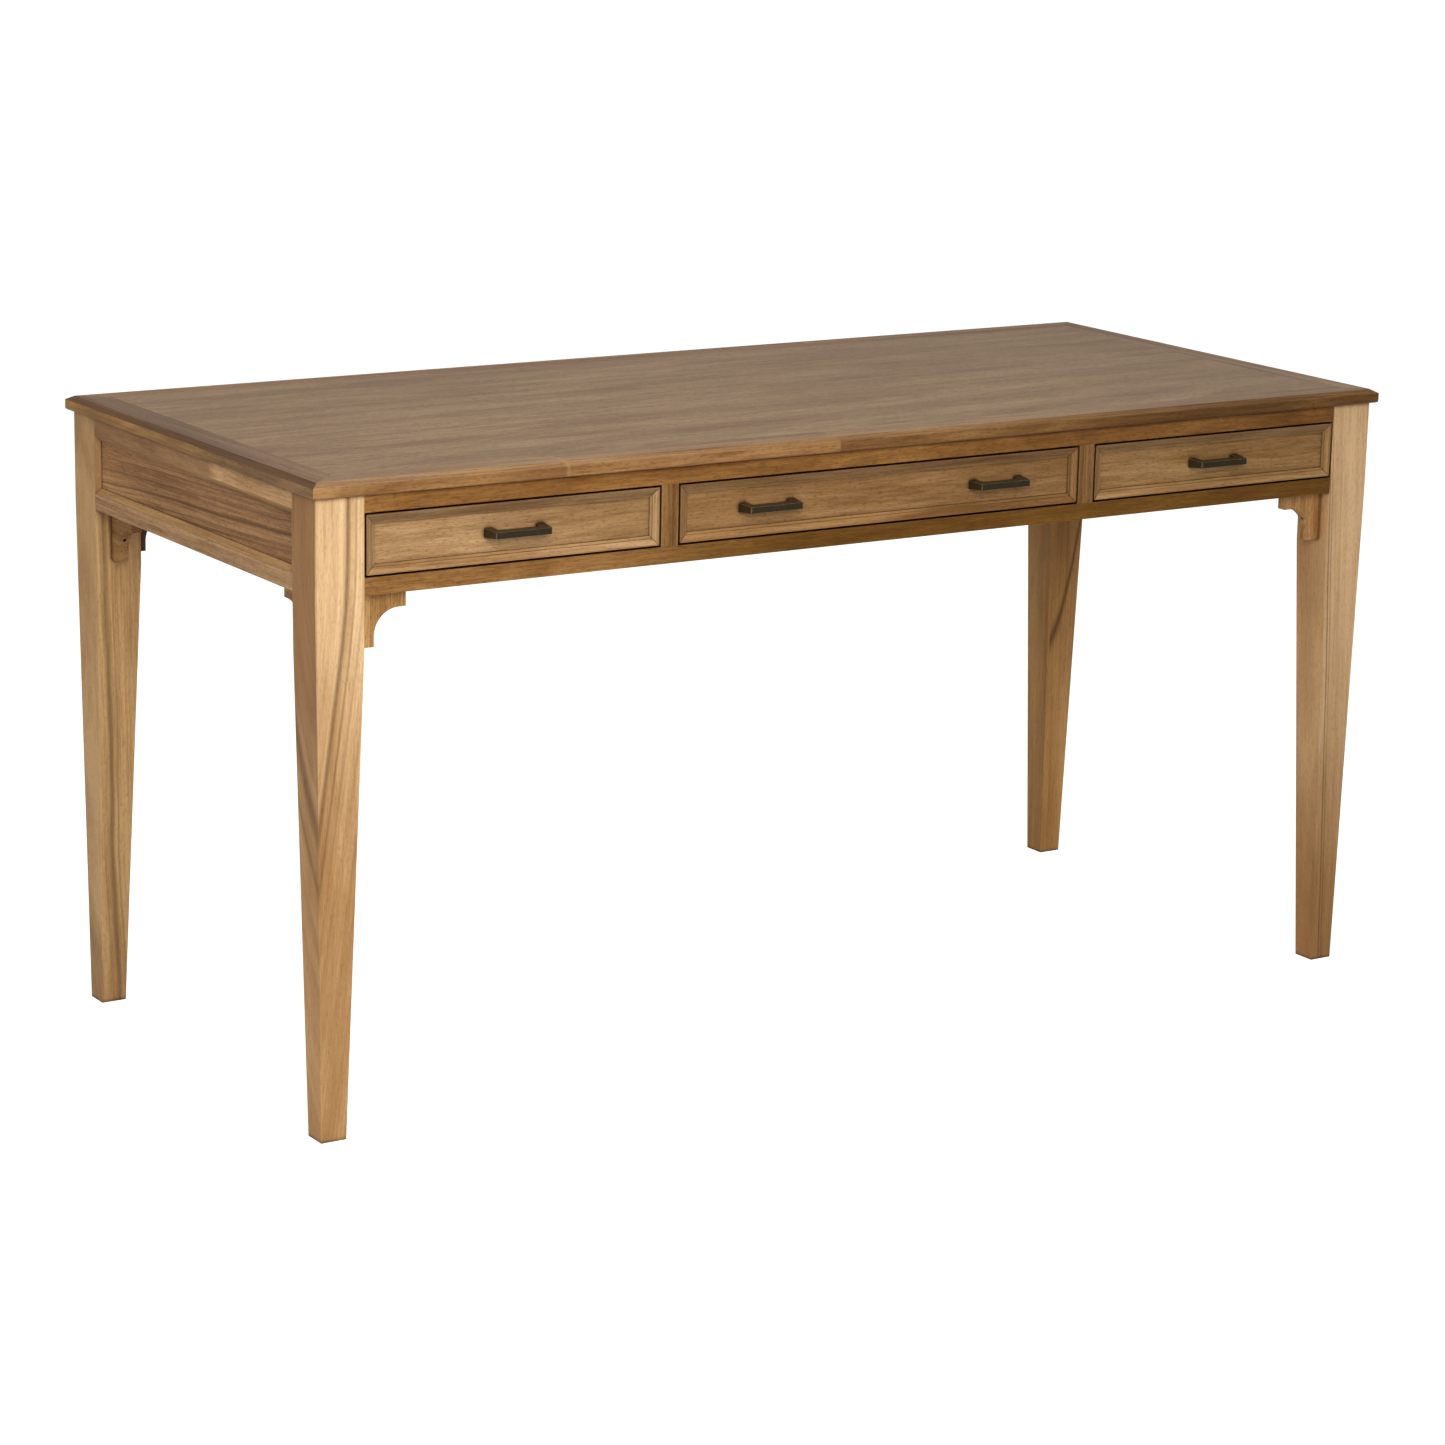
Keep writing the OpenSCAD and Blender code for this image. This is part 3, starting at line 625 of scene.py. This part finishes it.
def bronze():
    """Dark oiled bronze, rubbed to a brown sheen where hands and edges wear it."""
    material, g, shader = new_material("bronze")
    place = g.add("ShaderNodeTexCoord").outputs["Object"]
    cloud = g.noise(place, detail=4, rough=0.6, scale=240)
    fine = g.noise(place, detail=2, scale=1400)
    colour = g.ramp(cloud, ((0.3, (0.034, 0.024, 0.010)), (0.55, (0.045, 0.032, 0.013)),
                            (0.8, (0.064, 0.046, 0.020))))
    worn = g.add("ShaderNodeAttribute", attribute_name="worn").outputs["Fac"]
    colour = g.mix(g.times(worn, g.spread(cloud, 0.3, 0.7, 0.3, 0.8)), colour,
                   (0.40, 0.33, 0.23))
    g.put(shader.inputs["Base Color"], colour)
    shader.inputs["Metallic"].default_value = 0.4
    g.put(shader.inputs["Roughness"], g.spread(cloud, 0.3, 0.7, 0.34, 0.50))
    bump = g.add("ShaderNodeBump")
    bump.inputs["Strength"].default_value = 0.15
    bump.inputs["Distance"].default_value = 0.1 * MM
    g.put(bump.inputs["Height"], g.plus(fine, cloud))
    g.put(shader.inputs["Normal"], bump.outputs[0])
    return material


def steel(name, shade):
    material, g, shader = new_material(name)
    place = g.add("ShaderNodeTexCoord").outputs["Object"]
    cloud = g.noise(place, detail=3, scale=300)
    low, high = ((c * shade for c in colour) for colour in ((0.20, 0.19, 0.17),
                                                            (0.42, 0.41, 0.38)))
    g.put(shader.inputs["Base Color"], g.ramp(cloud, ((0.3, tuple(low)), (0.7, tuple(high)))))
    shader.inputs["Metallic"].default_value = 1.0
    g.put(shader.inputs["Roughness"], g.spread(cloud, 0.3, 0.7, 0.35, 0.55))
    return material


BRONZE = bronze()
STEEL = steel("steel", 1.0)
DARK_STEEL = steel("dark_steel", 0.12)
for node in ("left_handle", "centre_handle_left", "centre_handle_right", "right_handle"):
    softened(node, 0.4 * MM, [BRONZE])
for node in NODES:
    if "screws" in node or "bolts" in node:
        NODES[node].data.materials.clear()
        NODES[node].data.materials.append(DARK_STEEL if node == "bracket_screws" else STEEL)


# ------------------------------------------------------------------ studio

def add_floor():
    """A pale floor. It is seen near white and throws only a little light back up."""
    mesh = bpy.data.meshes.new("floor")
    half = 12.0      # half its width in metres
    mesh.from_pydata([(-half, -half, 0), (half, -half, 0), (half, half, 0), (-half, half, 0)],
                     [], [(0, 1, 2, 3)])
    floor = bpy.data.objects.new("floor", mesh)
    bpy.context.scene.collection.objects.link(floor)
    material, g, shader = new_material("floor")
    shader.inputs["Base Color"].default_value = (0.62, 0.62, 0.62, 1)
    shader.inputs["Roughness"].default_value = 0.9
    shader.inputs["Specular IOR Level"].default_value = 0.0
    shader.inputs["Emission Color"].default_value = (1, 1, 1, 1)
    path = g.add("ShaderNodeLightPath")
    g.put(shader.inputs["Emission Strength"],
          g.spread(path.outputs["Is Camera Ray"], 0, 1, 0.05, 0.93))
    mesh.materials.append(material)


def add_area(name, place, target, size, power, glossy=True):
    """A soft lamp. One that isn't glossy lights the desk but shows in no reflection."""
    data = bpy.data.lights.new(name, "AREA")
    data.shape = "RECTANGLE"
    data.size, data.size_y = size
    data.energy = power
    lamp = bpy.data.objects.new(name, data)
    lamp.visible_glossy = glossy
    lamp.location = place
    lamp.rotation_euler = (Vector(target) - Vector(place)).to_track_quat("-Z", "Y").to_euler()
    bpy.context.scene.collection.objects.link(lamp)


def add_world():
    """A white room to look at. It lights the desk softly, most from low down at the back."""
    world = bpy.data.worlds.new("studio")
    world.use_nodes = True
    tree = world.node_tree
    tree.nodes.clear()
    g = Graph(tree)
    path = g.add("ShaderNodeLightPath")
    seen = g.add("ShaderNodeBackground")
    seen.inputs[0].default_value = (1, 1, 1, 1)
    seen.inputs[1].default_value = 1.0
    way = g.split(g.add("ShaderNodeTexCoord").outputs["Generated"])
    low = g.spread(way[2], 0.10, 0.60, 1.0, 0.0)
    back = g.spread(way[1], -0.1, 0.5)
    light = g.add("ShaderNodeBackground")
    light.inputs[0].default_value = (0.97, 0.98, 1, 1)
    g.put(light.inputs[1], g.plus(g.times(g.times(low, back), 0.35), 0.17))
    both = g.add("ShaderNodeMixShader")
    g.put(both.inputs[0], path.outputs["Is Camera Ray"])
    g.put(both.inputs[1], light.outputs[0])
    g.put(both.inputs[2], seen.outputs[0])
    output = g.add("ShaderNodeOutputWorld")
    g.put(output.inputs[0], both.outputs[0])
    bpy.context.scene.world = world


add_floor()
add_world()
add_area("key", (-1.5, -2.6, 1.7), (-0.35, -0.3, 0.55), (1.3, 1.7), 66, glossy=False)
add_area("fill", (-3.0, 0.6, 1.0), (-0.76, 0.2, 0.45), (1.4, 1.4), 14)
add_area("above", (-0.2, -0.3, 2.9), (0.0, 0.0, 0.76), (2.4, 1.6), 29)
bpy.context.scene.view_settings.view_transform = "Standard"
